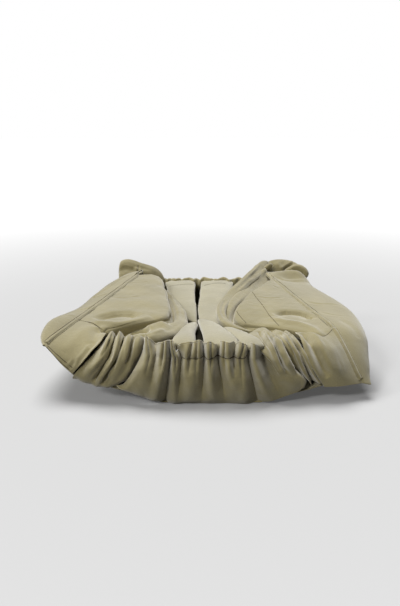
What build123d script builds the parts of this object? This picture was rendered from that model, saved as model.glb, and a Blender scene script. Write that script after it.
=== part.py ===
from build123d import *
import os

# Camp pillow: a fitted cloth cover, gathered by elastic in its front and back hems, round a
# fibre-filled bag. Its two ends fold inwards over the bag as padded flaps, each of which lifts
# on a twin-needle seam. Lining folds close the space between the flaps.
# Millimetres. X runs along the pillow, -Y is the front and +Z is up. The origin is at the
# middle of the cover, on the surface that the flat part of the base panel rests on.

# ---- driving dimensions -------------------------------------------------------------
HALF_DEPTH = 239.0  # middle to the outside of each hem
RIM_HEIGHT = 121.0  # top of the elastic hems
HEM_WIDTH = 32.0  # height of each hem casing
HEM_THICKNESS = 7.0
CLOTH = 2.0  # brushed double-layer cloth
LINING = 1.2  # cloth of the inner bag
GAP = 0.4  # clearance between neighbouring pieces
ELASTIC_WIDTH = 25.0
ELASTIC_THICKNESS = 1.6
FLAP_THICKNESS = 22.0
TUCK_THICKNESS = 14.0  # the padded layer under each flap
FOLD_THICKNESS = 5.0  # the lining folds between the flaps
SEAM_WIDTH = 9.0  # twin-needle felled seam
SEAM_THICKNESS = 1.6
BAG_TOP = 72.0  # top of the filled inner bag
PANEL_THICKNESS = 9.0  # corner panels, cloth backed with wadding
ROLL_THICKNESS = 30.0  # the rolled cloth at the back corners

# The base panel is flat in the middle and rises to both ends, steeper past each knee.
FLAT_LEFT = -80.0
FLAT_RIGHT = 95.0
KNEE_X = 245.0
KNEE_Z = 46.0
END_X = 334.0
END_Z = 140.0
BASE_CURVE = [
    (-END_X, END_Z), (-KNEE_X, KNEE_Z), (FLAT_LEFT, 0), (FLAT_RIGHT, 0), (KNEE_X, KNEE_Z), (END_X, END_Z),
]
BASE_BEND_RADIUS = 60.0
BASE_EDGE_Z = 92.0  # where the base panel stops

# The flaps' tops lie in one plane that rises gently to the back.
TOP_TILT = 4.35  # degrees
TOP_PLANE = Plane.XY.offset(126.3).rotated((TOP_TILT, 0, 0))

# Plan outlines, as (X, Y). A flap's hinge line joins its first and last points.
COVER_PLAN = [
    (-303, -216), (-174, -216), (-174, -233), (206, -233), (206, -216),
    (303, -216), (303, -10), (244, 233), (-216, 233), (-272, 20), (-303, -120),
]
LEFT_FLAP = [(-256, -109), (-205, -166), (-79, -98), (-76, -52), (-107, 176), (-164, 181)]
RIGHT_FLAP = [(240, -150), (205, -168), (150, -160), (54, -92), (54, -66), (99, 64), (160, 140)]
LEFT_TUCK = [(-235, -105), (-176, -176), (-98, -182), (-49, -114), (-41, -63), (-50, 29), (-96, 174), (-160, 174)]
RIGHT_TUCK = [(222, -120), (150, -176), (80, -152), (44, -119), (32, -74), (32, 2), (50, 107), (100, 172), (150, 134)]
LEFT_END = [(-300, -200), (-300, -125), (-270, 20), (-221, 190), (-162, 190), (-285, -197)]
RIGHT_END = [(300, -206), (300, -10), (246, 190), (148, 190), (257, -206)]

# Lining folds, as (X, Y) on planes that rise from the middle of the pillow to each hem.
FOLD_HEIGHT = 80.0
FOLD_TILT = 9.0  # degrees
LEFT_PLEAT = [(-34, 6), (-21, 6), (-16, 228), (-98, 228)]
RIGHT_PLEAT = [(-16, 6), (24, 6), (60, 228), (-11, 228)]
LEFT_PETAL = [(-34, -8), (-21, -8), (-20, -228), (-60, -228)]
RIGHT_PETAL = [(-16, -8), (24, -8), (44, -228), (-15, -228)]

# Upright outlines, as (X, Z), of the pieces at the four corners.
LEFT_CORNER = [(-301, 105), (-301, 99), (-250, 50), (-176, 34), (-176, 116), (-280, 110)]
RIGHT_CORNER = [(208, 30), (257, 31), (301, 26), (301, 90), (240, 114), (208, 116)]
LEFT_GATHER = [(-172, 36), (-112, 12), (-112, 88), (-172, 88)]
RIGHT_GATHER = [(100, 1), (167, 20), (204, 30), (204, 116), (100, 118)]
LEFT_ROLL = [(-216, 104), (-206, 166), (-150, 156), (-114, 136), (-114, 92), (-200, 92)]
RIGHT_BUNCH = [(114, 92), (114, 138), (140, 164), (184, 170), (226, 160), (241, 108), (228, 92)]

# Where the hems and walls run along X.
FRONT_HEM_SPAN = (-172.0, 96.0)
FRONT_WALL_SPAN = (-108.0, 96.0)
BACK_HEM_SPAN = (-110.0, 110.0)
BACK_WALL_SPAN = (-212.0, 236.0)

HEM_BOTTOM = RIM_HEIGHT - HEM_WIDTH
HEM_MIDDLE_Z = RIM_HEIGHT - HEM_WIDTH / 2
HEM_MIDDLE_Y = HALF_DEPTH - HEM_THICKNESS / 2


# ---- shared shapes ------------------------------------------------------------------
def base_block(inset, front, back):
    """Everything above the base curve, less an inset, as a block between two distances along Y."""
    with BuildPart() as block:
        with BuildSketch(Plane.XZ.offset(-back)):
            with BuildLine():
                underside = FilletPolyline(*BASE_CURVE, radius=BASE_BEND_RADIUS)
                Line(underside @ 1, underside @ 0)
            make_face()
            offset(amount=-inset, kind=Kind.INTERSECTION)
        extrude(amount=back - front)
    return block.part


def base_space(inset, top, front, back):
    """The block above the base, cut to the cover's plan outline, less an inset, and to a top level."""
    with BuildPart() as space:
        add(base_block(inset, front, back))
        with BuildSketch(Plane.XY):
            with BuildLine():
                Polyline(*COVER_PLAN, close=True)
            make_face()
            offset(amount=-inset, kind=Kind.INTERSECTION)
        extrude(amount=top, mode=Mode.INTERSECT)
    return space.part


def cushion(outline, plane, thickness, corner, edge, inset=0.0):
    """A flat pad hung below a plane, with rounded corners and edges, shrunk all round by an inset."""
    with BuildPart() as pad:
        with BuildSketch(plane.offset(-inset)) as sketch:
            with BuildLine():
                Polyline(*outline, close=True)
            make_face()
            fillet(sketch.vertices(), radius=corner)
            offset(amount=-inset)
        extrude(amount=2 * inset - thickness)
        levels = pad.faces().sort_by(Axis((0, 0, 0), plane.z_dir))
        fillet(levels[0].edges() + levels[-1].edges(), radius=edge - inset)
    return pad.part


def upright_panel(outline, front, thickness, corner, edge):
    """A panel that faces the front, drawn in X and Z, with rounded corners and edges."""
    with BuildPart() as panel:
        with BuildSketch(Plane.XZ.offset(-front - thickness)) as sketch:
            with BuildLine():
                Polyline(*outline, close=True)
            make_face()
            fillet(sketch.vertices(), radius=corner)
        extrude(amount=thickness)
        sides = panel.faces().sort_by(Axis.Y)
        fillet(sides[0].edges() + sides[-1].edges(), radius=edge)
    return panel.part


def wall(span, front):
    """An upright cloth wall that stands on the base curve and ends just below its hem."""
    with BuildPart() as sheet:
        add(base_block(0, front, front + CLOTH))
        with BuildSketch(Plane.XY):
            with Locations(((span[0] + span[1]) / 2, front)):
                Rectangle(span[1] - span[0], 4 * CLOTH)
        extrude(amount=HEM_BOTTOM - GAP, mode=Mode.INTERSECT)
    return sheet.part


def hem_casing(span, middle_y):
    """A flat tube of folded cloth along X, open at both ends for its elastic."""
    with BuildPart() as casing:
        with BuildSketch(Plane.YZ.offset(span[0])):
            with Locations((middle_y, HEM_MIDDLE_Z)):
                RectangleRounded(HEM_THICKNESS, HEM_WIDTH, radius=3.2)
                RectangleRounded(
                    HEM_THICKNESS - 2 * CLOTH, HEM_WIDTH - 2 * CLOTH, radius=1.3, mode=Mode.SUBTRACT
                )
        extrude(amount=span[1] - span[0])
    return casing.part


def elastic_band(span, middle_y):
    """Flat braided elastic inside a hem casing, stitched down just inside its ends."""
    with BuildPart() as band:
        with BuildSketch(Plane.YZ.offset(span[0] + SEAM_WIDTH)):
            with Locations((middle_y, HEM_MIDDLE_Z)):
                RectangleRounded(ELASTIC_THICKNESS, ELASTIC_WIDTH, radius=0.7)
        extrude(amount=span[1] - span[0] - 2 * SEAM_WIDTH)
    return band.part


def end_pad(outline):
    """A padded strip at an end of the cover, flat on top, its underside fitted to the base."""
    with BuildPart() as pad:
        with BuildSketch(TOP_PLANE.offset(-SEAM_THICKNESS - 2 * GAP)):
            with BuildLine():
                Polyline(*outline, close=True)
            make_face()
        extrude(amount=-END_Z)
        add(base_space(CLOTH + GAP, END_Z, -HALF_DEPTH, HALF_DEPTH), mode=Mode.INTERSECT)
        split(bisect_by=Plane.XY.offset(BAG_TOP + GAP), keep=Keep.TOP)
    return pad.part


def seam_tape(start, end, side):
    """A felled seam beside a hinge line, on the end pad; side is -1 for left and 1 for right."""
    inner = side * 2.0
    outer = side * (2.0 + SEAM_WIDTH)
    with BuildPart() as tape:
        with BuildSketch(TOP_PLANE.offset(-GAP)):
            with BuildLine():
                Polyline(
                    (start[0] + inner, start[1]),
                    (start[0] + outer, start[1]),
                    (end[0] + outer, end[1]),
                    (end[0] + inner, end[1]),
                    close=True,
                )
            make_face()
        extrude(amount=-SEAM_THICKNESS)
    return tape.part


def lining_fold(outline, tilt):
    """A flat lining fold between the flaps; a positive tilt rises to the back hem."""
    with BuildPart() as fold:
        with BuildSketch(Plane.XY.offset(FOLD_HEIGHT).rotated((tilt, 0, 0))) as sketch:
            with BuildLine():
                Polyline(*outline, close=True)
            make_face()
            fillet(sketch.vertices(), radius=3)
        extrude(amount=-FOLD_THICKNESS)
    return fold.part


# ---- the cover's base, walls, hems and elastic --------------------------------------
with BuildPart() as base_panel:
    add(base_space(0, BASE_EDGE_Z, -HALF_DEPTH, HALF_DEPTH))
    add(base_block(CLOTH, -HALF_DEPTH, HALF_DEPTH), mode=Mode.SUBTRACT)

with BuildPart() as front_wall:
    add(wall(FRONT_WALL_SPAN, -HALF_DEPTH + CLOTH))

with BuildPart() as back_wall:
    add(wall(BACK_WALL_SPAN, HALF_DEPTH - 2 * CLOTH))

with BuildPart() as front_hem:
    add(hem_casing(FRONT_HEM_SPAN, -HEM_MIDDLE_Y))

with BuildPart() as back_hem:
    add(hem_casing(BACK_HEM_SPAN, HEM_MIDDLE_Y))

with BuildPart() as front_elastic:
    add(elastic_band(FRONT_HEM_SPAN, -HEM_MIDDLE_Y))

with BuildPart() as back_elastic:
    add(elastic_band(BACK_HEM_SPAN, HEM_MIDDLE_Y))

# ---- the cover's ends and corners ---------------------------------------------------
with BuildPart() as left_end_panel:
    add(end_pad(LEFT_END))

with BuildPart() as right_end_panel:
    add(end_pad(RIGHT_END))

with BuildPart() as left_seam_tape:
    add(seam_tape(LEFT_FLAP[0], LEFT_FLAP[-1], -1))

with BuildPart() as right_seam_tape:
    add(seam_tape(RIGHT_FLAP[0], RIGHT_FLAP[-1], 1))

with BuildPart() as left_corner_panel:
    add(upright_panel(LEFT_CORNER, -HALF_DEPTH + 12, PANEL_THICKNESS, corner=2, edge=3))

with BuildPart() as right_corner_panel:
    add(upright_panel(RIGHT_CORNER, -HALF_DEPTH + 12, PANEL_THICKNESS, corner=6, edge=3))

with BuildPart() as left_corner_gather:
    add(upright_panel(LEFT_GATHER, -HALF_DEPTH + CLOTH, HEM_THICKNESS - 3, corner=3, edge=1.5))

with BuildPart() as right_corner_gather:
    add(upright_panel(RIGHT_GATHER, -HALF_DEPTH + 1, HEM_THICKNESS - 2, corner=4, edge=2))

with BuildPart() as left_back_roll:
    add(upright_panel(LEFT_ROLL, HALF_DEPTH - ROLL_THICKNESS, ROLL_THICKNESS, corner=14, edge=12))

with BuildPart() as right_back_bunch:
    add(upright_panel(RIGHT_BUNCH, HALF_DEPTH - ROLL_THICKNESS, ROLL_THICKNESS, corner=12, edge=10))

# ---- the padded layers and lining folds on top --------------------------------------
TUCK_PLANE = TOP_PLANE.offset(-FLAP_THICKNESS - GAP)

with BuildPart() as left_tuck:
    add(cushion(LEFT_TUCK, TUCK_PLANE, TUCK_THICKNESS, corner=14, edge=5))

with BuildPart() as right_tuck:
    add(cushion(RIGHT_TUCK, TUCK_PLANE, TUCK_THICKNESS, corner=14, edge=5))

with BuildPart() as left_back_pleat:
    add(lining_fold(LEFT_PLEAT, FOLD_TILT))

with BuildPart() as right_back_pleat:
    add(lining_fold(RIGHT_PLEAT, FOLD_TILT))

with BuildPart() as left_front_petal:
    add(lining_fold(LEFT_PETAL, -FOLD_TILT))

with BuildPart() as right_front_petal:
    add(lining_fold(RIGHT_PETAL, -FOLD_TILT))

# ---- the inner bag and its fibre fill -----------------------------------------------
BAG_INSET = CLOTH + GAP
BAG_HALF_DEPTH = HALF_DEPTH - 12
FILL_INSET = BAG_INSET + LINING + GAP

with BuildPart() as inner_bag:
    add(base_space(BAG_INSET, BAG_TOP, -BAG_HALF_DEPTH, BAG_HALF_DEPTH))
    add(
        base_space(BAG_INSET + LINING, BAG_TOP - LINING, LINING - BAG_HALF_DEPTH, BAG_HALF_DEPTH - LINING),
        mode=Mode.SUBTRACT,
    )

with BuildPart() as core_fill:
    FILL_HALF_DEPTH = BAG_HALF_DEPTH - LINING - GAP
    add(base_space(FILL_INSET, BAG_TOP - LINING - GAP, -FILL_HALF_DEPTH, FILL_HALF_DEPTH))

# ---- the two flaps that lift --------------------------------------------------------
FLAP_CORNER = 14.0
FLAP_EDGE = 9.0


def flap_cover(outline):
    """A flap's cloth casing, sewn shut round its wadding."""
    with BuildPart() as casing:
        add(cushion(outline, TOP_PLANE, FLAP_THICKNESS, FLAP_CORNER, FLAP_EDGE))
        add(cushion(outline, TOP_PLANE, FLAP_THICKNESS, FLAP_CORNER, FLAP_EDGE, inset=CLOTH), mode=Mode.SUBTRACT)
    return casing.part


with BuildPart() as left_flap_cover:
    add(flap_cover(LEFT_FLAP))

with BuildPart() as left_flap_fill:
    add(cushion(LEFT_FLAP, TOP_PLANE, FLAP_THICKNESS, FLAP_CORNER, FLAP_EDGE, inset=CLOTH + GAP))

with BuildPart() as right_flap_cover:
    add(flap_cover(RIGHT_FLAP))

with BuildPart() as right_flap_fill:
    add(cushion(RIGHT_FLAP, TOP_PLANE, FLAP_THICKNESS, FLAP_CORNER, FLAP_EDGE, inset=CLOTH + GAP))

# ---- labels and export --------------------------------------------------------------
PIECES = {
    "base_panel": base_panel,
    "front_wall": front_wall,
    "back_wall": back_wall,
    "front_hem": front_hem,
    "back_hem": back_hem,
    "front_elastic": front_elastic,
    "back_elastic": back_elastic,
    "left_end_panel": left_end_panel,
    "right_end_panel": right_end_panel,
    "left_seam_tape": left_seam_tape,
    "right_seam_tape": right_seam_tape,
    "left_corner_panel": left_corner_panel,
    "right_corner_panel": right_corner_panel,
    "left_corner_gather": left_corner_gather,
    "right_corner_gather": right_corner_gather,
    "left_back_roll": left_back_roll,
    "right_back_bunch": right_back_bunch,
    "left_tuck": left_tuck,
    "right_tuck": right_tuck,
    "left_back_pleat": left_back_pleat,
    "right_back_pleat": right_back_pleat,
    "left_front_petal": left_front_petal,
    "right_front_petal": right_front_petal,
    "inner_bag": inner_bag,
    "core_fill": core_fill,
    "left_flap_cover": left_flap_cover,
    "left_flap_fill": left_flap_fill,
    "right_flap_cover": right_flap_cover,
    "right_flap_fill": right_flap_fill,
}

os.makedirs("parts", exist_ok=True)
for name, piece in PIECES.items():
    piece.part.label = name
    export_step(piece.part, f"parts/{name}.step")
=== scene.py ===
import math

import bpy
import numpy as np
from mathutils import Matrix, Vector
from mathutils.bvhtree import BVHTree


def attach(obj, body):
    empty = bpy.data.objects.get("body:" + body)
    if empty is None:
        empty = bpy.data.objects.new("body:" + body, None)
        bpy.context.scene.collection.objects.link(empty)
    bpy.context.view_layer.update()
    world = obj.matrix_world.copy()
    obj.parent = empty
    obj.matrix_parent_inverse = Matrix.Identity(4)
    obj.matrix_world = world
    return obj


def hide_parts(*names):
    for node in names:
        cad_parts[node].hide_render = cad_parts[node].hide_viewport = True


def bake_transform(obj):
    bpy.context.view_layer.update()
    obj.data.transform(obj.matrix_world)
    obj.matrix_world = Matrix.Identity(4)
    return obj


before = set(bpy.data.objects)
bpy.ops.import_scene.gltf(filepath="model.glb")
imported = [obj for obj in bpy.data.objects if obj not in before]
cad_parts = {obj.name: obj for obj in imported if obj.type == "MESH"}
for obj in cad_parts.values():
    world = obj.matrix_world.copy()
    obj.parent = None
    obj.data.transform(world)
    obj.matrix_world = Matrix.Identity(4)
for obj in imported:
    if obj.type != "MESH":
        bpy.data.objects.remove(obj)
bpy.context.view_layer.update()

# A camp pillow: a brushed khaki cover with elastic in its front and back hems, its ends folded
# inwards as padded flaps. Shapes are in millimetres in the CAD frame and become metres in a mesh.

MM = 0.001
STEP = 2.4  # spacing of mesh points on the large pieces, mm
SPAN_STEPS = 24  # steps of a smooth line between two of its given points
CLOTH = 1.6  # thickness of a single sheet, mm


# ---- lines and surfaces -------------------------------------------------------------
def smooth(points, count=None, step=STEP):
    """A smooth line through points, at even steps. Columns after x, y, z follow along."""
    p = np.array(points, float)
    h = np.maximum(np.linalg.norm(np.diff(p[:, :3], axis=0), axis=1), 1e-6) ** 0.5
    slope = np.diff(p, axis=0) / h[:, None]
    m = np.repeat(slope[:1], len(p), axis=0)
    if len(p) > 2:
        m[1:-1] = (slope[:-1] * h[1:, None] + slope[1:] * h[:-1, None]) / (h[1:] + h[:-1])[:, None]
        m[0] = 1.5 * slope[0] - 0.5 * m[1]
        m[-1] = 1.5 * slope[-1] - 0.5 * m[-2]
    t = np.linspace(0, 1, SPAN_STEPS, endpoint=False)[:, None]
    spans = []
    for i in range(len(p) - 1):
        spans.append(
            (2 * t**3 - 3 * t**2 + 1) * p[i]
            + (t**3 - 2 * t**2 + t) * h[i] * m[i]
            + (3 * t**2 - 2 * t**3) * p[i + 1]
            + (t**3 - t**2) * h[i] * m[i + 1]
        )
    fine = np.vstack([*spans, p[-1:]])
    along = walked(fine)
    at = np.linspace(0, along[-1], count or max(3, round(along[-1] / step) + 1))
    return np.stack([np.interp(at, along, fine[:, k]) for k in range(p.shape[1])], axis=1)


def walked(line):
    """How far along a line each of its points is, in mm."""
    return np.concatenate([[0], np.cumsum(np.linalg.norm(np.diff(line[:, :3], axis=0), axis=1))])


def unit(vectors):
    """Vectors of length 1."""
    return vectors / np.maximum(np.linalg.norm(vectors, axis=-1, keepdims=True), 1e-9)


def ease(t):
    """0 to 1 with a soft start and end."""
    t = np.clip(t, 0, 1)
    return t * t * (3 - 2 * t)


def bump_at(d, width):
    """A rounded bump of height 1 where d is 0."""
    return np.exp(-((d / width) ** 2))


def quilt(rows, across, down):
    """A smooth surface through rows of points: `across` points along each row, `down` rows."""
    lines = np.stack([smooth(r, across) for r in rows])
    return np.stack([smooth(lines[:, i], down) for i in range(across)], axis=1)


def hung_from(seam, grid, fade=0.5):
    """A surface moved so that its first column lies on the seam, less and less across its rows."""
    edge = smooth(seam, grid.shape[0])
    keep = (1 - ease(np.linspace(0, 1, grid.shape[1]) / fade))[None, :, None]
    return grid + (edge - grid[:, 0])[:, None] * keep


def coons(lower, upper, left, right):
    """A surface from its four edges: lower and upper run left to right, the others upwards."""
    v = np.linspace(0, 1, len(left))[:, None, None]
    u = np.linspace(0, 1, len(lower))[None, :, None]
    ruled = (1 - v) * lower[None] + v * upper[None] + (1 - u) * left[:, None] + u * right[:, None]
    corners = (1 - v) * ((1 - u) * lower[0] + u * lower[-1]) + v * ((1 - u) * upper[0] + u * upper[-1])
    return ruled - corners


def normals(grid, closed=False):
    """Unit normals of a grid of points, by its columns and rows."""
    if closed:
        across = np.roll(grid, -1, axis=1) - np.roll(grid, 1, axis=1)
    else:
        across = np.gradient(grid, axis=1)
    return unit(np.cross(across, np.gradient(grid, axis=0)))


def distance_to(points, line):
    """From each point to a line: distance, how far along (0 to 1), nearest place, way it runs."""
    start, run = line[:-1, :3], np.diff(line[:, :3], axis=0)
    flat = points.reshape(-1, 3)
    t = np.clip(((flat[:, None] - start) * run).sum(axis=2) / (run**2).sum(axis=1), 0, 1)
    place = start + t[..., None] * run
    d = np.linalg.norm(flat[:, None] - place, axis=2)
    best = d.argmin(axis=1)
    each = np.arange(len(flat))
    shape = points.shape[:-1]
    along = ((best + t[each, best]) / len(run)).reshape(shape)
    nearest, way = place[each, best].reshape(points.shape), run[best].reshape(points.shape)
    return d[each, best].reshape(shape), along, nearest, way


def folded(grid, folds, outward=None):
    """A surface with given folds: each is (kind, width, height, points along it)."""
    n = normals(grid) if outward is None else outward
    total = np.zeros(grid.shape[:2])
    for kind, width, height, points in folds:
        d, along, place, run = distance_to(grid, smooth(points, 26))
        side = (np.cross(run, n) * (grid - place)).sum(axis=2)
        strength = height * np.clip(4 * along * (1 - along) * 1.6, 0, 1) ** 0.8
        if kind == "valley":
            shape = -np.exp(-((d / width) ** 1.5)) + 0.35 * bump_at(d - 2.1 * width, width)
        elif kind == "ridge":
            shape = bump_at(d, width)
        elif kind == "hollow":
            shape = -bump_at(d, width)
        elif kind == "scoop":  # a crisp upper edge that opens into a wide hollow on the other side
            shape = -np.where(side > 0, bump_at(d, width * 3.4), bump_at(d, width))
        else:  # a lap: a soft rise on one side that drops sharply on the other
            shape = np.where(side > 0, bump_at(d, width * 2.6), np.exp(-((d / (width * 0.45)) ** 1.6)))
        total += strength * shape
    return grid + n * total[..., None]


WAVES, THEIR_SUM = 9, 3.4  # how many waves the unevenness of cloth is made of, and how high they add up


def unevenness(points, size, seed):
    """Smooth, repeatable noise of about -1 to 1, with features of about that size in mm."""
    rng = np.random.default_rng(seed)
    total = np.zeros(points.shape[:-1])
    for _ in range(WAVES):
        direction = rng.normal(size=3)
        wave = 2 * math.pi / (size * rng.uniform(0.6, 1.6)) / np.linalg.norm(direction)
        total += np.sin(points @ direction * wave + rng.uniform(0, 2 * math.pi))
    return total / THEIR_SUM


# ---- meshes -------------------------------------------------------------------------
def mesh_piece(name, points, faces, material):
    """An object from points in mm and faces, smooth shaded."""
    mesh = bpy.data.meshes.new(name)
    mesh.from_pydata([tuple(p) for p in np.asarray(points) * MM], [], faces)
    mesh.validate()
    mesh.update()
    mesh.shade_smooth()
    piece = bpy.data.objects.new(name, mesh)
    bpy.context.scene.collection.objects.link(piece)
    mesh.materials.append(material)
    return piece


def grid_faces(rows, columns, closed, start=0, flip=False):
    """The four-cornered faces of a grid of points; closed joins the last column to the first."""
    faces = []
    for r in range(start, start + (rows - 1) * columns, columns):
        for c in range(columns if closed else columns - 1):
            d = (c + 1) % columns
            quad = (r + c, r + d, r + columns + d, r + columns + c)
            faces.append(quad[::-1] if flip else quad)
    return faces


def facing(grid, outward):
    """The grid, turned over if need be so that its normals point outward on average."""
    return grid if (normals(grid).mean(axis=(0, 1)) @ np.array(outward)) > 0 else grid[:, ::-1]


def sheet_piece(name, grid, material=None, thickness=CLOTH):
    """A sheet of cloth with two faces and a rounded edge. The grid's normals point out of it."""
    rows, columns = grid.shape[:2]
    n = normals(grid)
    outer, inner = grid + n * thickness / 2, grid - n * thickness / 2
    half = rows * columns
    faces = grid_faces(rows, columns, False) + grid_faces(rows, columns, False, half, flip=True)
    rim = [(0, c) for c in range(columns)] + [(r, columns - 1) for r in range(1, rows)]
    rim += [(rows - 1, c) for c in range(columns - 2, -1, -1)] + [(r, 0) for r in range(rows - 2, 0, -1)]
    edge_start = 2 * half
    edge = np.array([grid[r, c] for r, c in rim])
    edge = edge + unit(edge - grid.reshape(-1, 3).mean(axis=0)) * thickness * 0.4
    for i, (r, c) in enumerate(rim):
        j = (i + 1) % len(rim)
        a, b = r * columns + c, rim[j][0] * columns + rim[j][1]
        faces.append((b, a, edge_start + i, edge_start + j))
        faces.append((edge_start + j, edge_start + i, half + a, half + b))
    points = np.vstack([outer.reshape(-1, 3), inner.reshape(-1, 3), edge])
    return mesh_piece(name, points, faces, material or cover_cloth)


def closed_piece(name, rings, material):
    """A closed soft form from rings of points, with its two ends drawn together."""
    count, around = rings.shape[:2]
    faces = grid_faces(count, around, True)
    points = [rings.reshape(-1, 3)]
    for ring, flip in ((0, True), (count - 1, False)):
        centre = count * around + len(points) - 1
        points.append(rings[ring].mean(axis=0)[None])
        for i in range(around):
            a, b = ring * around + i, ring * around + (i + 1) % around
            faces.append((b, a, centre) if flip else (a, b, centre))
    return mesh_piece(name, np.vstack(points), faces, material)


# ---- cloth --------------------------------------------------------------------------
def node(tree, kind, **values):
    """A new shader node with values on its sockets, whose names have _ for each space."""
    made = tree.nodes.new("ShaderNode" + kind)
    for name, value in values.items():
        made.inputs[name.replace("_", " ")].default_value = value
    return made


def combined(tree, operation, a, b):
    """A Math node's result, from two values that are each a socket or a number."""
    made = node(tree, "Math")
    made.operation = operation
    for socket, value in zip(made.inputs, (a, b)):
        if isinstance(value, float):
            socket.default_value = value
        else:
            tree.links.new(value, socket)
    return made.outputs["Value"]


def cloth_material(name, colour, sheen=0.5, weave=1.0):
    """Brushed woven cloth: fine weave, short nap, soft creases and uneven colour."""
    material = bpy.data.materials.new(name)
    material.use_nodes = True
    tree = material.node_tree
    tree.nodes.clear()
    join = tree.links.new
    output = node(tree, "OutputMaterial")
    shader = node(
        tree, "BsdfPrincipled", Roughness=0.88, Sheen_Weight=sheen, Sheen_Roughness=0.6,
        Sheen_Tint=(1.0, 0.99, 0.95, 1.0), Specular_IOR_Level=0.2,
    )
    join(shader.outputs["BSDF"], output.inputs["Surface"])
    place = node(tree, "TexCoord").outputs["Object"]

    def noise(scale, detail, roughness=0.5, distortion=0.0):
        made = node(tree, "TexNoise", Scale=scale, Detail=detail, Roughness=roughness, Distortion=distortion)
        join(place, made.inputs["Vector"])
        return made.outputs["Fac"]

    def around_one(value, spread):
        made = node(tree, "MapRange", From_Min=0.3, From_Max=0.7, To_Min=1 - spread, To_Max=1 + spread)
        join(value, made.inputs["Value"])
        return made.outputs["Result"]

    def threads(turn):
        mapping = node(tree, "Mapping", Rotation=turn)
        join(place, mapping.inputs["Vector"])
        wave = node(tree, "TexWave", Scale=260.0, Distortion=1.5, Detail=1.0)
        join(mapping.outputs["Vector"], wave.inputs["Vector"])
        return wave.outputs["Fac"]

    tone = node(tree, "Mix")
    tone.data_type = "RGBA"
    tone.blend_type = "MULTIPLY"
    tone.inputs["Factor"].default_value = 1.0
    tone.inputs["A"].default_value = (*colour, 1.0)
    mottling, nap = around_one(noise(14.0, 3), 0.12), around_one(noise(420.0, 2, 0.6), 0.07)
    join(combined(tree, "MULTIPLY", mottling, nap), tone.inputs["B"])
    join(tone.outputs["Result"], shader.inputs["Base Color"])

    twill = combined(tree, "MULTIPLY", threads((0.3, 0.2, 0.75)), threads((0.2, 0.3, -0.8)))
    twill = combined(tree, "MULTIPLY", twill, 0.35 * weave)
    fine = combined(tree, "ADD", twill, combined(tree, "MULTIPLY", noise(900.0, 2), 0.4))
    small = combined(tree, "MULTIPLY", noise(120.0, 2, 0.5, 0.8), 0.3)
    creases = combined(tree, "ADD", noise(46.0, 4, 0.55, 0.6), small)
    crease = node(tree, "Bump", Strength=0.5, Distance=0.0022)
    bump = node(tree, "Bump", Strength=0.35, Distance=0.0004)
    join(creases, crease.inputs["Height"])
    join(fine, bump.inputs["Height"])
    join(crease.outputs["Normal"], bump.inputs["Normal"])
    join(bump.outputs["Normal"], shader.inputs["Normal"])
    return material


KHAKI = (0.262, 0.222, 0.098)
cover_cloth = cloth_material("cover_cloth", KHAKI, sheen=0.75)
lining_cloth = cloth_material("lining_cloth", (0.33, 0.298, 0.185), sheen=0.75)
# near black: painted shade, standing in for the deep shadow seen through the gaps between the folds
painted_shade_cloth = cloth_material("painted_shade_cloth", (0.055, 0.048, 0.030), sheen=0.0)
seam_cloth = cloth_material("seam_cloth", KHAKI, sheen=0.75)
thread = cloth_material("thread", (0.10, 0.086, 0.050), sheen=0.0, weave=0.2)
# dark strips laid in creases and sewn joins: painted shade standing for the shadow there
crease_painted_shade = cloth_material("crease_painted_shade", (0.10, 0.085, 0.048), sheen=0.0, weave=0.2)
fibre = cloth_material("fibre_fill", (0.72, 0.71, 0.68), sheen=0.3, weave=0.3)
elastic_web = cloth_material("elastic_web", (0.62, 0.61, 0.57), sheen=0.1)


# ---- soft forms ---------------------------------------------------------------------
def rounded_ends(line, ends, least):
    """How much of its size a form has at each point of its line, with ends rounded over these lengths."""
    along = walked(line)
    share = np.ones(len(line))
    for reach, from_end in ((ends[0], along), (ends[1], along[-1] - along)):
        share *= np.sqrt(np.clip(1 - (1 - np.clip(from_end / reach, 0, 1)) ** 2, least, 1))
    return share


def soft_fold(
    name, spine, material=None, around=36, ends=(14, 14), wobble=0.8, seed=1, square=0.82, inset=0.0, folds=()
):
    """A padded fold along a spine of (x, y, z, half width, thickness, lean in degrees)."""
    line = smooth(spine)
    centre, lean = line[:, :3], np.radians(line[:, 5:])
    share = rounded_ends(centre, ends, 0.004)
    half, thick = (line[:, 3] - inset) * share, (line[:, 4] / 2 - inset) * share
    tangent = unit(np.gradient(centre, axis=0))
    side = unit(np.cross(tangent, (0, 0, 1.0)))
    up = np.cross(side, tangent)
    wide = (side * np.cos(lean) + up * np.sin(lean)) * half[:, None]
    high = (up * np.cos(lean) - side * np.sin(lean)) * thick[:, None]
    angle = np.linspace(0, 2 * math.pi, around, endpoint=False)
    c, s = (np.sign(v) * np.abs(v) ** square for v in (np.cos(angle), np.sin(angle)))
    rings = centre[:, None] + wide[:, None] * c[None, :, None] + high[:, None] * s[None, :, None]
    rings = outward_rings(rings)
    rings += normals(rings, closed=True) * (unevenness(rings, 60, seed) * wobble * share[:, None])[..., None]
    rings = folded(rings, folds, normals(rings, closed=True))
    return closed_piece(name, rings, material or cover_cloth)


def outward_rings(rings):
    """The rings, turned so that their normals point away from their middles."""
    n = normals(rings, closed=True)
    away = rings - rings.mean(axis=1, keepdims=True)
    return rings if (n * away).sum() > 0 else rings[:, ::-1]


# Mesh points of a pad's section: over the top, round the free edge, underneath and up the sewn side.
OVER, ROUND, UNDER, SEWN = 64, 16, 26, 6
TOP_POINTS = OVER + 10  # the top and the upper part of the free edge, which take the folds


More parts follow.
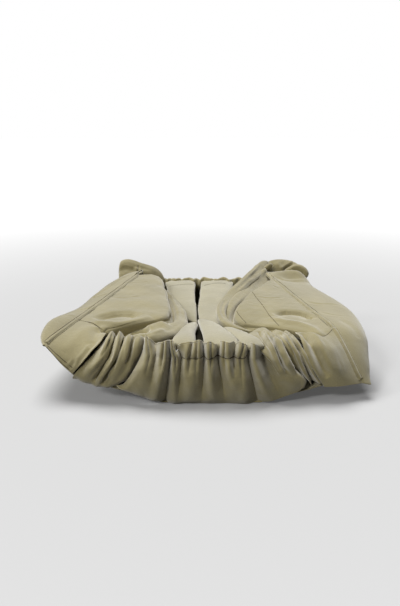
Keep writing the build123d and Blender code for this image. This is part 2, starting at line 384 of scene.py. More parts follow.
def pad(name, seam, nose, material, thickness, rise, ends=(12, 12), dents=(), folds=(), seed=1, inset=0.0):
    """A pad between its sewn edge and its free, rolled edge. rise is the top's height over the
    straight line between them, as (share of the way across, mm). Both lines run the same way."""
    count = round(max(walked(smooth(seam))[-1], walked(smooth(nose))[-1]) / STEP)
    seam, nose = smooth(seam, count), smooth(nose, count)
    reach = np.linalg.norm(nose - seam, axis=1)
    across = unit(nose - seam)
    middle = (seam + nose) / 2
    along = np.gradient(middle, axis=0)
    up = np.cross(along, across)
    up = unit(up * np.sign(up[:, 2:3]))
    seam, reach = seam + across * inset, reach - 2 * inset
    share = rounded_ends(middle, ends, 0.003)
    deep = thickness - 2 * inset
    r = np.minimum(deep / 2, reach * 0.4)
    curve = smooth([(s * 100, h, 0) for s, h in rise], 80)

    def top(t):
        return np.interp(t * 100, curve[:, 0], curve[:, 1]) - inset

    # round the section: over the top, round the rolled edge, back underneath and up the sewn side
    ring = [(t * (reach - r), top(t) + 0 * reach) for t in np.linspace(0, 1, OVER, endpoint=False)]
    for a in math.pi * (0.5 - np.linspace(0, 1, ROUND, endpoint=False)):
        ring.append((reach - r + r * math.cos(a), top(1) - r + r * math.sin(a)))
    for t in np.linspace(0, 1, UNDER, endpoint=False):
        ring.append(((reach - r) * (1 - t), top(1) * (1 - t) - 2 * r - (deep - 2 * r) * t))
    for t in np.linspace(0, 1, SEWN, endpoint=False):
        ring.append((0 * reach, inset - thickness + (deep + top(0) + inset) * t))
    base = -thickness / 2
    places = [seam + across * d[:, None] + up * (base + (h - base) * share)[:, None] for d, h in ring]
    rings = np.stack(places, axis=1)
    is_top = np.arange(len(ring)) < TOP_POINTS
    rings_out = normals(rings, closed=True)
    if (rings_out[:, OVER // 2] * up).sum() < 0:
        rings, is_top = rings[:, ::-1], is_top[::-1]
        rings_out = normals(rings, closed=True)
    amount = unevenness(rings, 80, seed) + unevenness(rings, 30, seed + 1) * 0.3
    for (x, y), direction, long, wide, depth in dents:  # broad dents in the top
        a = math.radians(direction)
        dx, dy = rings[..., 0] - x, rings[..., 1] - y
        u, v = dx * math.cos(a) + dy * math.sin(a), dy * math.cos(a) - dx * math.sin(a)
        amount -= depth * np.exp(-((u / long) ** 2) - (v / wide) ** 2)
    from_seam = np.linalg.norm(rings - seam[:, None], axis=2)
    amount *= np.where(is_top, ease(from_seam / 14), 0.3) * share[:, None]
    rings = rings + rings_out * amount[..., None]
    moved = folded(rings, folds, normals(rings, closed=True))
    rings = np.where(is_top[None, :, None], moved, rings)
    return closed_piece(name, rings, material)


# ---- sewing -------------------------------------------------------------------------
def surfaces(*pieces):
    """A tree over pieces' meshes, in millimetres, for finding the nearest place on them."""
    points, faces = [], []
    for piece in pieces:
        start = len(points)
        points.extend(v.co / MM for v in piece.data.vertices)
        faces.extend([start + i for i in p.vertices] for p in piece.data.polygons)
    return BVHTree.FromPolygons(points, faces)


def laid_on(line, tree, toward=(0, -0.35, 1.0), lift=4.0):
    """A line moved onto a surface, and the surface's normal at each point of it."""
    toward = Vector(toward).normalized()
    places, ups = [], []
    for p in line[:, :3]:
        spot, normal, _, _ = tree.find_nearest(Vector(p) + toward * lift)
        if normal.dot(toward) < 0:
            normal = -normal
        places.append(spot)
        ups.append(normal)
    ups = np.array([tuple(u) for u in ups])
    for _ in range(3):
        ups[1:-1] = (ups[:-2] + ups[1:-1] + ups[2:]) / 3
    return np.array([tuple(p) for p in places]), unit(ups)


def evened(values, times):
    """Values along a line, evened out; the two ends stay."""
    values = np.array(values, float)
    for _ in range(times):
        values[1:-1] = (values[:-2] + 2 * values[1:-1] + values[2:]) / 4
    return values


def ribbon(name, line, tree, section, material, toward):
    """A closed strip sewn down along a line; section is a list of (across, above) in mm."""
    places, ups = laid_on(line, tree, toward)
    places, ups = evened(places, 30), unit(evened(ups, 30))
    side = unit(np.cross(np.gradient(places, axis=0), ups))
    tracks = []
    for across, above in section:
        track = places + side * across
        depth = ((laid_on(track, tree, toward)[0] - track) * ups).sum(axis=1)
        tracks.append(track + ups * (evened(np.clip(depth, -2.5, 2.5), 30) + above)[:, None])
    return closed_piece(name, outward_rings(np.stack(tracks, axis=1)), material), places, ups


# Sections as (across, above), mm: a felled seam, its two rows of stitches and a groove that carries a line of
# painted shade.
FELLED = [
    (-6.0, -2.0), (-5.7, 0.9), (-4.9, 1.5), (-4.2, 0.3), (-3.4, 0.3), (-2.7, 1.6), (0, 2.0), (2.7, 1.6),
    (3.4, 0.3), (4.2, 0.3), (4.9, 1.5), (5.7, 0.9), (6.0, -2.0), (0, -2.2),
]
STITCH_ROWS = [(-3.8, 0.6), (3.8, 0.6)]
GROOVE = [(-0.8, -0.6), (-0.45, 0.3), (0.45, 0.3), (0.8, -0.6), (0, -0.9)]


def stitches(name, places, ups, offsets, material, pitch=3.3, long=2.3, thick=0.42, sides=6):
    """Rows of stitches along places, at these offsets to the side. Each is a thin rod whose ends dip."""
    side = unit(np.cross(np.gradient(places, axis=0), ups))
    points, faces = [], []
    for offset, height in offsets:
        row = places + side * offset + ups * height
        along = walked(row)
        for at in np.arange(pitch, along[-1] - pitch, pitch):
            span = (at - long / 2, at + long / 2)
            a, b = np.stack([np.interp(span, along, row[:, k]) for k in range(3)], axis=1)
            i = min(int(np.searchsorted(along, at)), len(ups) - 1)
            first = len(points)
            for t, width, drop in ((0, 0.35, -0.35), (0.25, 1, 0), (0.75, 1, 0), (1, 0.35, -0.35)):
                for q in range(sides):
                    turn = 2 * math.pi * q / sides
                    out, above = thick * width * math.cos(turn), thick * width * math.sin(turn) + drop
                    points.append(a + (b - a) * t + side[i] * out + ups[i] * above)
            faces += grid_faces(4, sides, True, first)
            faces.append(tuple(first + q for q in range(sides - 1, -1, -1)))
            faces.append(tuple(first + 3 * sides + q for q in range(sides)))
    return mesh_piece(name, points, faces, material)


# ---- main lines, shared by neighbouring pieces --------------------------------------
TO_FRONT = (0, -1, 0.3)  # the way that the front's cloth faces

# The sewn edges that the flaps lift on. Each follows its hinge, then runs down to a corner tip.
LEFT_HINGE = [(-164, 181, 140.5), (-197, 80, 132), (-228, -18, 124.5), (-256, -108, 117.5)]
LEFT_SEAM_BACK = [(-153, 212, 142.5), (-158, 197, 142), (-164, 181, 140.5)]
LEFT_SEAM_FRONT = [(-256, -108, 117.5), (-270, -143, 112.5), (-284, -174, 107.5), (-298, -205, 101)]
RIGHT_HINGE = [(160, 140, 138), (187, 42, 130.5), (213, -52, 123), (240, -150, 115)]
RIGHT_SEAM_BACK = [(148, 192, 144), (153, 166, 141), (160, 140, 138)]
RIGHT_SEAM_FRONT = [(240, -150, 115), (252, -178, 96), (264, -197, 72), (276, -211, 46), (284, -217, 31)]
LEFT_JOIN = [(-256, -108, 117.5), (-238, -119, 118), (-215, -140, 117), (-200, -160, 114), (-190, -172, 112)]
RIGHT_JOIN = [(240, -150, 115), (226, -170, 110), (212, -185, 108), (188, -166, 110), (166, -159, 109)]

LEFT_SEAM = LEFT_SEAM_BACK[:-1] + LEFT_HINGE + LEFT_SEAM_FRONT[1:]
RIGHT_SEAM = RIGHT_SEAM_BACK[:-1] + RIGHT_HINGE + RIGHT_SEAM_FRONT[1:]


# ---- flaps and the padded layers under them -----------------------------------------
def wadding(name, lines, shape):
    """The filling of a flap: the same form, a little smaller all round."""
    return pad(name, *[smooth(line)[5:-5] for line in lines], fibre, inset=2.6, **shape)


left_flap_lines = (
    [(-162, 186, 141), *LEFT_HINGE, *LEFT_JOIN[1:4]],
    [
        (-118, 190, 139), (-105, 168, 138), (-95, 110, 135), (-86, 50, 131), (-78, -10, 127.5),
        (-75, -62, 123.5), (-82, -94, 120), (-112, -114, 117), (-145, -135, 114.5), (-176, -152, 112.5),
        (-192, -162, 112),
    ],
)
left_flap_shape = dict(
    thickness=19, rise=[(0, 0), (0.12, 1.2), (0.4, 3.6), (0.75, 3.4), (0.94, 1.4), (1, 0)],
    dents=[((-150, 70), 65, 70, 34, 1.4)],
    folds=[
        ("scoop", 7, 11.0, [(-226, -104, 118), (-204, -84, 118), (-176, -74, 118), (-152, -78, 118),
            (-132, -96, 118)]),
        ("ridge", 9, 6.0, [(-232, -118, 118), (-206, -132, 117), (-176, -136, 116), (-142, -122, 118),
            (-112, -96, 119)]),
        ("valley", 3.2, 1.3, [(-205, 20, 128), (-170, 16, 130), (-140, 22, 131)]),
        ("valley", 2.6, 1.0, [(-190, 120, 136), (-160, 112, 137), (-135, 116, 137)]),
    ],
    seed=3,
)
left_flap = pad("left_flap_cover_cloth", *left_flap_lines, cover_cloth, **left_flap_shape)
left_flap_fill = wadding("left_flap_wadding", left_flap_lines, left_flap_shape)

right_flap_lines = (
    [(158.4, 145.5, 138.4), *RIGHT_HINGE, *RIGHT_JOIN[1:3]],
    [
        (147, 142, 140), (124, 97, 138), (100, 52, 136), (80, 8, 131.5), (62, -38, 126.5), (54, -76, 119),
        (66, -106, 112), (98, -123, 110), (130, -132, 110), (162, -150, 110), (186, -168, 109),
        (204, -180, 108.5),
    ],
)
right_flap_shape = dict(
    thickness=18, rise=[(0, 0), (0.12, 1.0), (0.4, 3.0), (0.75, 3.0), (0.94, 1.4), (1, 0)],
    dents=[((140, 30), -70, 70, 30, 1.3)],
    folds=[
        ("scoop", 6, 10.0, [(134, -78, 116), (154, -64, 117), (178, -64, 117), (200, -78, 115),
            (214, -104, 113)]),
        ("ridge", 8, 5.0, [(126, -88, 113), (152, -112, 113), (180, -128, 113), (200, -152, 111),
            (212, -178, 109)]),
        ("valley", 3.0, 1.4, [(104, 10, 131), (135, 2, 131), (166, 12, 131)]),
        ("valley", 2.6, 1.2, [(84, -20, 127), (104, -34, 126), (128, -36, 125)]),
        ("valley", 2.6, 1.0, [(150, 90, 137), (165, 72, 136), (178, 66, 135)]),
    ],
    seed=8,
)
right_flap = pad("right_flap_cover_cloth", *right_flap_lines, cover_cloth, **right_flap_shape)
right_flap_fill = wadding("right_flap_wadding", right_flap_lines, right_flap_shape)

left_tuck = pad(
    "left_tuck_pad",
    [(-160, 204, 117), (-162, 176, 115), (-190, 82, 107), (-220, -14, 99), (-240, -92, 93),
     (-228, -120, 92), (-200, -160, 92)],
    [
        (-126, 206, 118), (-108, 178, 117), (-80, 110, 113), (-58, 50, 110), (-43, -10, 107),
        (-39, -64, 104), (-46, -110, 105), (-66, -150, 106), (-98, -182, 107), (-150, -198, 106),
    ],
    cover_cloth, thickness=25, ends=(16, 16),
    rise=[(0, -1), (0.45, -1), (0.7, 3), (0.86, 8), (0.96, 6), (1, 2)],
    folds=[
        ("ridge", 6, 3.0, [(-112, -182, 106), (-96, -164, 110), (-80, -146, 112)]),
        ("hollow", 10, 4.0, [(-124, -170, 106), (-104, -146, 110), (-84, -128, 112)]),
        ("hollow", 5, 13.0, [(-92, 120, 118), (-84, 60, 116), (-74, 0, 113), (-68, -50, 111),
            (-72, -92, 110), (-90, -112, 110)]),
        ("valley", 3, 4.0, [(-72, -90, 114), (-94, -112, 114), (-124, -128, 112)]),
        ("ridge", 12, 6.0, [(-80, -110, 112), (-100, -128, 112), (-124, -142, 110)]),
        ("hollow", 9, 26.0, [(-178, -144, 98), (-156, -152, 104), (-136, -150, 106), (-112, -134, 108)]),
    ],
    seed=5,
)
right_tuck = pad(
    "right_tuck_pad",
    [(172, 170, 128), (170, 130, 114), (196, 34, 107), (222, -60, 98), (232, -120, 92), (214, -150, 90)],
    [
        (141, 214, 160), (118, 186, 148), (90, 140, 135), (62, 84, 124), (40, 30, 115), (30, -22, 110),
        (30, -70, 105), (42, -108, 101), (70, -124, 101), (110, -130, 103), (150, -152, 103),
    ],
    cover_cloth, thickness=24, ends=(14, 16),
    rise=[(0, 0), (0.45, -2), (0.7, 1), (0.86, 6), (0.96, 5), (1, 2)],
    folds=[
        ("hollow", 5, 18.0, [(120, 104, 134), (96, 56, 127), (75, 10, 120), (57, -36, 114), (48, -76, 110),
            (60, -108, 108), (90, -126, 108)]),
        ("ridge", 7, 4.0, [(100, 120, 140), (76, 74, 130), (56, 26, 122), (40, -20, 116), (33, -70, 112),
            (44, -100, 108)]),
    ],
    seed=6,
)

# ---- the lining's folds, which meet in the middle of the well -----------------------
left_back_pleat = soft_fold(
    "left_lining_back_pleat",
    [(-65, 236, 109, 37, 14, 0), (-61, 190, 107, 35, 16, -2), (-54, 120, 100, 28, 18, -3),
     (-43, 50, 91, 19, 16, -3), (-30, 4, 82, 10, 12, 0), (-22, -12, 76, 3, 7, 0)],
    lining_cloth, ends=(8, 8), seed=11,
    folds=[("ridge", 5, 2.0, [(-27, 226, 117), (-26, 120, 108), (-22, 20, 86)])],
)
right_back_pleat = soft_fold(
    "right_lining_back_pleat",
    [(30, 236, 109, 41, 14, 0), (26, 190, 107, 38, 16, 2), (15, 110, 99, 31, 18, 3), (9, 40, 90, 26, 17, 3),
     (11, -20, 82, 24, 15, 4), (20, -64, 76, 14, 12, 4), (28, -90, 72, 6, 8, 4)],
    lining_cloth, ends=(8, 10), seed=12,
    folds=[("ridge", 5, 2.0, [(-9, 226, 117), (-10, 120, 108), (-16, 10, 88)])],
)
left_front_petal = soft_fold(
    "left_lining_front_petal",
    [(-26, -14, 78, 6, 9, 0), (-28, -50, 86, 10, 16, 0), (-35, -105, 96, 14, 20, 0),
     (-41, -170, 106, 18, 19, 0), (-43, -206, 109, 21, 16, 0), (-44, -228, 104, 22, 12, 0)],
    lining_cloth, ends=(8, 6), seed=13,
)
right_front_petal = soft_fold(
    "right_lining_front_petal",
    [(-16, -2, 81, 3, 8, 0), (-10, -30, 88, 8, 14, 0), (2, -84, 97, 17, 19, 0), (14, -150, 106, 25, 20, 0),
     (22, -200, 110, 30, 17, 0), (26, -230, 104, 32, 12, 0)],
    lining_cloth, ends=(8, 6), seed=14,
)
right_small_petal = soft_fold(
    "right_lining_small_petal",
    [(32, -84, 92, 5, 10, 0), (42, -116, 98, 10, 15, 0), (58, -160, 105, 15, 15, 0),
     (76, -206, 108, 19, 13, 0), (84, -230, 102, 20, 10, 0)],
    lining_cloth, ends=(8, 6), seed=15,
)

# ---- cloth bunched at the back corners ----------------------------------------------
left_back_roll = soft_fold(
    "left_back_rolled_cloth",
    [
        (-217, 221, 127, 36, 22, 120), (-209, 221, 127.5, 40, 24, 122), (-198, 221, 127, 43, 25, 124),
        (-184, 221, 124, 42, 25, 124), (-165, 222, 120, 39, 24, 122), (-138, 223, 114, 38, 24, 120),
        (-122, 225, 109, 31, 22, 116), (-110, 227, 104, 18, 18, 104), (-100, 229, 99, 10, 12, 94),
    ],
    seed=21, square=0.72, around=64, ends=(8, 10),
    folds=[
        ("valley", 2.2, 3.6, [(-166, 232, 156), (-167, 222, 146), (-168, 213, 132), (-168, 204, 118)]),
        ("hollow", 7, 4.5, [(-218, 216, 142), (-196, 221, 147), (-174, 220, 142)]),
        ("ridge", 4, 3.0, [(-210, 240, 164), (-180, 240, 160), (-150, 238, 150), (-124, 236, 138)]),
        ("valley", 3, 3.2, [(-204, 231, 156), (-184, 230, 152), (-150, 228, 142), (-126, 229, 132)]),
        ("valley", 4, 5.0, [(-190, 253, 150), (-192, 240, 130), (-196, 222, 104)]),
        ("valley", 4, 5.0, [(-150, 250, 138), (-150, 238, 118), (-148, 224, 98)]),
    ],
)
tuck_band = soft_fold(
    "right_back_tuck_band",
    [
        (84, -124, 98, 4, 9, 0), (58, -114, 101, 7, 12, 0), (38, -92, 105, 9, 14, -4),
        (30, -56, 109, 10, 15, -8), (31, -18, 113, 11, 16, -12), (40, 14, 116.5, 12, 16, -16),
        (56, 54, 121, 13, 16, -20), (80, 100, 130, 14, 17, -26), (108, 150, 140, 15, 18, -34),
        (132, 196, 148, 16, 20, -44), (148, 220, 152, 15, 18, -54), (160, 226, 150, 10, 14, -60),
    ],
    seed=22, square=0.7, around=56, ends=(24, 10),
    folds=[
        ("valley", 2.6, 2.6, [(66, 66, 132), (94, 116, 143), (122, 168, 154), (140, 206, 164)]),
        ("hollow", 5, 2.4, [(104, 128, 144), (126, 168, 152), (142, 200, 158)]),
        ("valley", 2.6, 2.0, [(44, 20, 124), (34, -14, 121), (31, -50, 117), (38, -84, 113)]),
    ],
)
bunch_main = soft_fold(
    "right_back_bunch_fold",
    [
        (124, 224, 112, 24, 20, 100), (142, 222, 122, 38, 23, 112), (158, 222, 122, 36, 22, 116),
        (170, 221, 127, 41, 24, 120), (184, 221, 129, 42, 25, 121), (202, 221, 127, 43, 25, 121),
        (216, 221, 124, 39, 24, 118), (228, 220, 120, 30, 22, 114), (236, 219, 116, 20, 18, 106),
    ],
    seed=23, square=0.75, around=64, ends=(10, 8),
    folds=[
        ("valley", 3, 6.0, [(163, 232, 157), (162, 222, 147), (164, 212, 133)]),
        ("ridge", 5, 3.6, [(176, 232, 160), (184, 223, 150), (196, 214, 138)]),
        ("valley", 2.6, 10.0, [(222, 236, 158), (213, 229, 154), (200, 221, 148), (188, 214, 140)]),
        ("valley", 4, 5.0, [(150, 250, 146), (148, 240, 126), (144, 228, 102)]),
        ("valley", 4, 5.0, [(206, 254, 152), (208, 242, 130), (212, 226, 102)]),
    ],
)
bunch_end = soft_fold(
    "right_back_end_fold",
    [(192, 209, 132, 8, 10, 60), (206, 212, 139, 14, 15, 66), (222, 213, 140, 21, 18, 72),
     (236, 210, 133, 22, 18, 76), (245, 205, 122, 16, 14, 78)],
    seed=24, square=0.75, around=44, ends=(10, 8),
)
bunch_knot = soft_fold(
    "right_back_knot",
    [(122, 192, 132, 5, 9, 0), (129, 194, 139, 8, 13, 14), (142, 196, 139, 9, 14, 0),
     (154, 194, 136, 8, 12, -14), (162, 192, 131, 5, 9, -14)],
    seed=25, ends=(6, 6),
)
knot_loop = soft_fold(
    "right_back_knot_loop",
    [(138, 196, 142, 5, 8, 40), (147, 203, 150, 8, 11, 60), (158, 208, 156, 8, 11, 70),
     (164, 212, 158, 5, 8, 70)],
    seed=26, ends=(6, 6),
)

# ---- ends and corners ---------------------------------------------------------------
END_GRID = (70, 190)  # mesh points of an end panel, from the seam down and along the seam
CORNER_GRID = (80, 90)  # mesh points of a corner panel, along its lower edge and up its side


def end_cloth(name, seam, outward, rows, folds):
    """An end panel that hangs from its seam, from rows of points that run outwards and down."""
    grid = facing(hung_from(seam, quilt(rows, *END_GRID)), outward)
    return sheet_piece(name, folded(grid, folds))


def corner_cloth(name, lower, upper, left, right, folds):
    """A smooth front corner panel between its four edges, with folds."""
    across, upward = CORNER_GRID
    edges = (smooth(lower, across), smooth(upper, across), smooth(left, upward), smooth(right, upward))
    return sheet_piece(name, folded(facing(coons(*edges), TO_FRONT), folds))


left_end = end_cloth(
    "left_end_cloth", LEFT_SEAM, (-0.5, 0, 1),
    [
        [(-153, 212, 142.5), (-180, 214, 139), (-204, 216, 130), (-222, 222, 110), (-226, 226, 84),
         (-216, 228, 42)],
        [(-158, 197, 142), (-186, 196, 138), (-214, 194, 127), (-229, 192, 108), (-230, 190, 84),
         (-222, 188, 44)],
        [(-170, 160, 139), (-204, 156, 135), (-234, 148, 123), (-247, 146, 106), (-248, 146, 82),
         (-240, 146, 47)],
        [(-197, 80, 132), (-226, 78, 128), (-252, 74, 118), (-265, 72, 102), (-266, 72, 80), (-258, 72, 52)],
        [(-228, -18, 124.5), (-252, -18, 121), (-275, -14, 112), (-288, -14, 98), (-290, -14, 84),
         (-282, -14, 70)],
        [(-244, -68, 121), (-268, -72, 122), (-290, -78, 119), (-303, -82, 109), (-303, -82, 95),
         (-292, -80, 78)],
        [(-256, -108, 117.5), (-278, -114, 122.5), (-300, -122, 123), (-311, -128, 115), (-310, -128, 101),
         (-297, -124, 86)],
        [(-279, -162, 109), (-292, -166, 113), (-304, -170, 114), (-311, -174, 108), (-309, -174, 98),
         (-298, -172, 88)],
        [(-298, -205, 101), (-299, -204.6, 101.2), (-300, -204, 101), (-301, -203, 100),
         (-300.5, -202, 98.5), (-299, -201, 97.5)],
    ],
    [
        ("lap", 5, 3.0, [(-176, 196, 142), (-204, 150, 134), (-228, 90, 127), (-256, 30, 120)]),
        ("valley", 3, 1.6, [(-236, -30, 124), (-252, -50, 121), (-276, -60, 117)]),
        ("valley", 3, 1.4, [(-216, 50, 129), (-238, 40, 125), (-262, 44, 118)]),
        ("ridge", 5, 1.6, [(-262, -90, 120), (-280, -96, 119), (-300, -92, 112)]),
    ],
)

right_end = end_cloth(
    "right_end_cloth", RIGHT_SEAM, (0.5, 0, 1),
    [
        [(148, 192, 144), (186, 212, 140), (226, 216, 134), (247, 216, 112), (251, 214, 84), (240, 214, 44)],
        [(152, 170, 142), (188, 194, 146), (228, 196, 145), (252, 194, 118), (256, 190, 84), (246, 188, 46)],
        [(156, 155, 140), (196, 168, 131), (236, 172, 128), (260, 166, 110), (262, 162, 84), (252, 160, 48)],
        [(165, 122, 136), (208, 122, 131), (252, 118, 124), (270, 116, 108), (272, 116, 84), (262, 116, 52)],
        [(187, 42, 130.5), (234, 44, 127), (280, 44, 119), (296, 42, 104), (296, 42, 84), (282, 42, 60)],
        [(213, -52, 123), (256, -52, 121), (300, -52, 114), (311, -52, 98), (308, -52, 82), (292, -52, 66)],
        [(240, -150, 115), (270, -148, 111), (298, -142, 101), (309, -140, 86), (305, -138, 72),
         (290, -134, 64)],
        [(252, -178, 96), (276, -175, 91), (298, -168, 80), (306, -164, 68), (302, -160, 58),
         (288, -156, 54)],
        [(266, -200, 68), (281, -198, 64), (295, -193, 58), (303, -188, 51), (302, -183, 45),
         (294, -178, 42)],
        [(276, -211, 46), (286, -209, 44), (296, -205, 41), (301, -201, 38), (301, -197, 36),
         (296, -193, 36)],
        [(284, -217, 31), (290, -217, 30), (297, -216, 28), (301, -214, 27), (301, -212, 28),
         (298, -209, 30)],
    ],
    [
        ("valley", 4, 2.6, [(166, 166, 138), (190, 156, 131), (220, 160, 128), (250, 172, 124)]),
        ("valley", 3.4, 1.8, [(214, -10, 126), (236, -20, 124), (262, -16, 121), (284, -22, 116)]),
        ("valley", 3.0, 1.4, [(230, -70, 121), (252, -84, 118), (276, -84, 114)]),
        ("hollow", 9, 2.2, [(258, -110, 115), (276, -128, 108), (286, -160, 94)]),
    ],
)

# The corner panels. Each ends in front in a folded edge that lies over the gathers beside it.
left_fold_edge = [(-190, -172, 112), (-192, -188, 112), (-198, -208, 106), (-218, -223, 84), (-245, -227, 54)]
left_corner = corner_cloth(
    "left_corner_cloth",
    [(-298, -205, 101), (-281, -214, 86), (-264, -221, 69), (-245, -227, 54)],
    LEFT_JOIN, LEFT_SEAM_FRONT[::-1], left_fold_edge[::-1],
    [
        ("hollow", 11, 8.0, [(-204, -150, 114), (-208, -180, 106), (-206, -196, 102), (-216, -206, 94)]),
        ("valley", 4, 3.4, [(-204, -202, 104), (-216, -214, 88), (-236, -222, 66)]),
        ("valley", 3, 2.2, [(-238, -216, 78), (-246, -220, 66), (-256, -220, 62)]),
        ("ridge", 12, 1.8, [(-226, -140, 116), (-244, -180, 104), (-262, -206, 86)]),
    ],
)

right_fold_edge = [(166, -159, 109), (168, -185, 110), (171, -206, 106), (176, -220, 90), (185, -228, 72),
    (196, -231, 54), (212, -231, 30)]
right_corner = corner_cloth(
    "right_corner_cloth",
    [(212, -231, 30), (240, -231, 31), (262, -226, 32), (284, -217, 31)],
    RIGHT_JOIN[::-1], right_fold_edge[::-1], RIGHT_SEAM_FRONT[::-1],
    [
        ("valley", 6.5, 12.0, [(178, -164, 110), (184, -186, 108), (190, -206, 100), (198, -219, 84),
            (208, -226, 64), (218, -229, 48)]),
        ("ridge", 9, 3.4, [(198, -160, 110), (206, -184, 107), (212, -206, 92), (222, -222, 68),
            (238, -228, 46)]),
        ("valley", 3, 2.6, [(182, -158, 111), (202, -164, 110), (222, -172, 106)]),
        ("valley", 4, 2.0, [(222, -200, 92), (234, -216, 70), (240, -224, 50)]),
    ],
)


# ---- gathered walls -----------------------------------------------------------------
ROWS, BACK_ROWS, COLUMNS = 120, 100, 260  # of mesh points, on the front and the back
HEADER = 0.205  # the ruffled header's share of the height of each wall
# Rows of mesh points, counted from the top: under the front's stitch line, and along the two elastics.
STITCH_ROW, ELASTIC_ROW, BACK_ELASTIC_ROW = -26, -14, -12
FRONT_HEM_END, BACK_HEM_ENDS = 97, 124  # where the hems end: x in front, and either way at the back


def gather(x, down, folds):
    """How far a gathered wall stands out, from folds of (x at the top, x below, width, depth, reach)."""
    total = np.zeros_like(x)
    for top, below, width, depth, reach in folds:
        d = x - (top + (below - top) * down)
        w = width * (1 + 1.1 * down)
        strength = depth * (1 - ease(down / reach))
        total -= 1.25 * strength * np.exp(-np.abs(d / w) ** 1.15)
        total += 0.45 * strength * (bump_at(d - 2.2 * w, 1.3 * w) + bump_at(d + 2.2 * w, 1.3 * w))
    return total


def heights(rows):
    """Over a wall's grid: 1 to 0 from the bottom up, then the shares below and above its stitch line."""
    fall = np.linspace(1, 0, rows)[:, None] * np.ones(COLUMNS)[None]
    return fall, np.clip((fall - HEADER) / (1 - HEADER), 0, 1), np.clip(1 - fall / HEADER, 0, 1)


def notches(x, places):
    """Dips in a ruffled edge, each (x, width, depth)."""
    return sum(depth * bump_at(x - at, width) for at, width, depth in places)


# Folds of the front: x at the stitch line, x at the bottom, width, depth, and how far down they reach.
FRONT_FOLDS = [
    (-103, -122, 3, 6, 0.5), (-93, -108, 4.5, 11, 0.75), (-80, -92, 2.6, 5, 0.4), (-66, -79, 4.2, 17, 1.9),
    (-57, -60, 2.4, 12, 0.35), (-48, -55, 4.6, 12, 1.05), (-33, -36, 2.6, 6, 0.35), (-20, -25, 3, 5, 0.6),
    (-7, -11, 4.6, 16, 1.1), (5, 8, 2.6, 8, 0.3), (17, 34, 6, 17, 1.15), (29, 40, 2.6, 6, 0.4),
    (46, 50, 3.2, 10, 0.45), (57, 66, 3, 6, 0.7), (71, 92, 5, 17, 1.9), (99, 134, 8, 16, 1.1),
]

# The front is one cloth, from the base up past the stitch line to the ruffled edge, where it turns in.
skirt_top = smooth(
    [
        (-113, -219, 117), (-101, -227, 114.5), (-80, -232, 113.5), (-50, -235, 115), (0, -237, 116.5),
        (46, -235, 115), (76, -231, 111), (92, -227, 107), (102, -223, 100), (116, -221, 90),
        (130, -220, 79), (146, -220, 66),
    ],
    COLUMNS,
)
skirt_bottom = smooth(
    [(-170, -234, 34), (-150, -236, 25), (-112, -237, 11), (-78, -237, 2), (-40, -237, 0.9),
     (60, -237, 0.9), (97, -237, 2), (140, -237, 14), (170, -235, 28), (176, -232, 42)],
    COLUMNS,
)
skirt = coons(
    skirt_bottom, skirt_top,
    smooth([(-170, -234, 34), (-156, -239, 34), (-141, -241, 51), (-129, -240, 71), (-118, -232, 92),
            (-113, -219, 117)], ROWS),
    smooth([(176, -232, 42), (168, -232, 50), (158, -228, 58), (146, -220, 66)], ROWS),
)
fall, down, up = heights(ROWS)
x = skirt[..., 0]
sewn = ease((x + 52) / 16) * ease((76 - x) / 16)  # where the stitch line shows
slant = 7 * unevenness(skirt * (1, 0, 0), 46, 43) * up
valleys = gather(x + slant, down, FRONT_FOLDS)
ruffle = unevenness(skirt * (1, 0, 0), 26, 41)
skirt_out = valleys + 6 * np.sin(math.pi * down**0.8) ** 1.3
skirt_out += unevenness(skirt * (1, 1, 0.4), 40, 31) * np.sin(math.pi * down)
skirt_out += unevenness(skirt, 22, 32) * 0.35
skirt_out += ruffle * 4.2 * up + 2.4 * sewn * np.sin(math.pi * up) - 2.6 * up**3
skirt_out -= 1.8 * sewn * bump_at(fall - HEADER, 0.012)
left_curl = 9 * np.clip(1 - np.linspace(0, 1, COLUMNS) / 0.035, 0, 1) ** 2
skirt[..., 1] -= skirt_out - left_curl[None]
lift = unevenness(x[..., None] * (1, 0, 0), 30, 42) * 3.0 + valleys * 0.35
lift -= notches(x, [(-95, 5, 4), (-57, 3.5, 10), (-40, 5, 3), (-6, 5, 4), (14, 6, 5), (50, 3.5, 6),
    (70, 4, 4)])
skirt[..., 2] += lift * up**1.5
front_wall = sheet_piece("front_gathered_skirt", skirt)


def turned_in(name, edge, inward, deep=22):
    """A hem's turned-in half: from the ruffled edge over and down inside, along the elastic."""
    section = smooth(
        [(0.6, 0.4, 0), (2.6, 2.0, 0), (6.0, 0.6, 0), (9.0, -6, 0), (10.4, -13, 0), (11, -deep, 0)], 34
    )
    grid = np.repeat(edge[None], len(section), axis=0)
    grid[..., 1] += inward * section[:, 0][:, None]
    grid[..., 2] += section[:, 1][:, None]
    grid[..., 1] += unevenness(grid, 18, 46) * 0.5
    return sheet_piece(name, facing(grid, (0, inward, 0)))


header_columns = skirt_top[:, 0] < FRONT_HEM_END
front_hem = turned_in("front_hem_casing", skirt[-1, header_columns], 1)
front_elastic_line = skirt[ELASTIC_ROW, header_columns]


def gathered_corner(name, rows, count, folds, size, seed, height):
    """A gathered corner panel, from rows of points along its ridges and hollows and from folds."""
    grid = folded(facing(quilt(rows, *count), TO_FRONT), folds)
    grid += normals(grid) * (unevenness(grid, size, seed) * height)[..., None]
    return sheet_piece(name, grid)


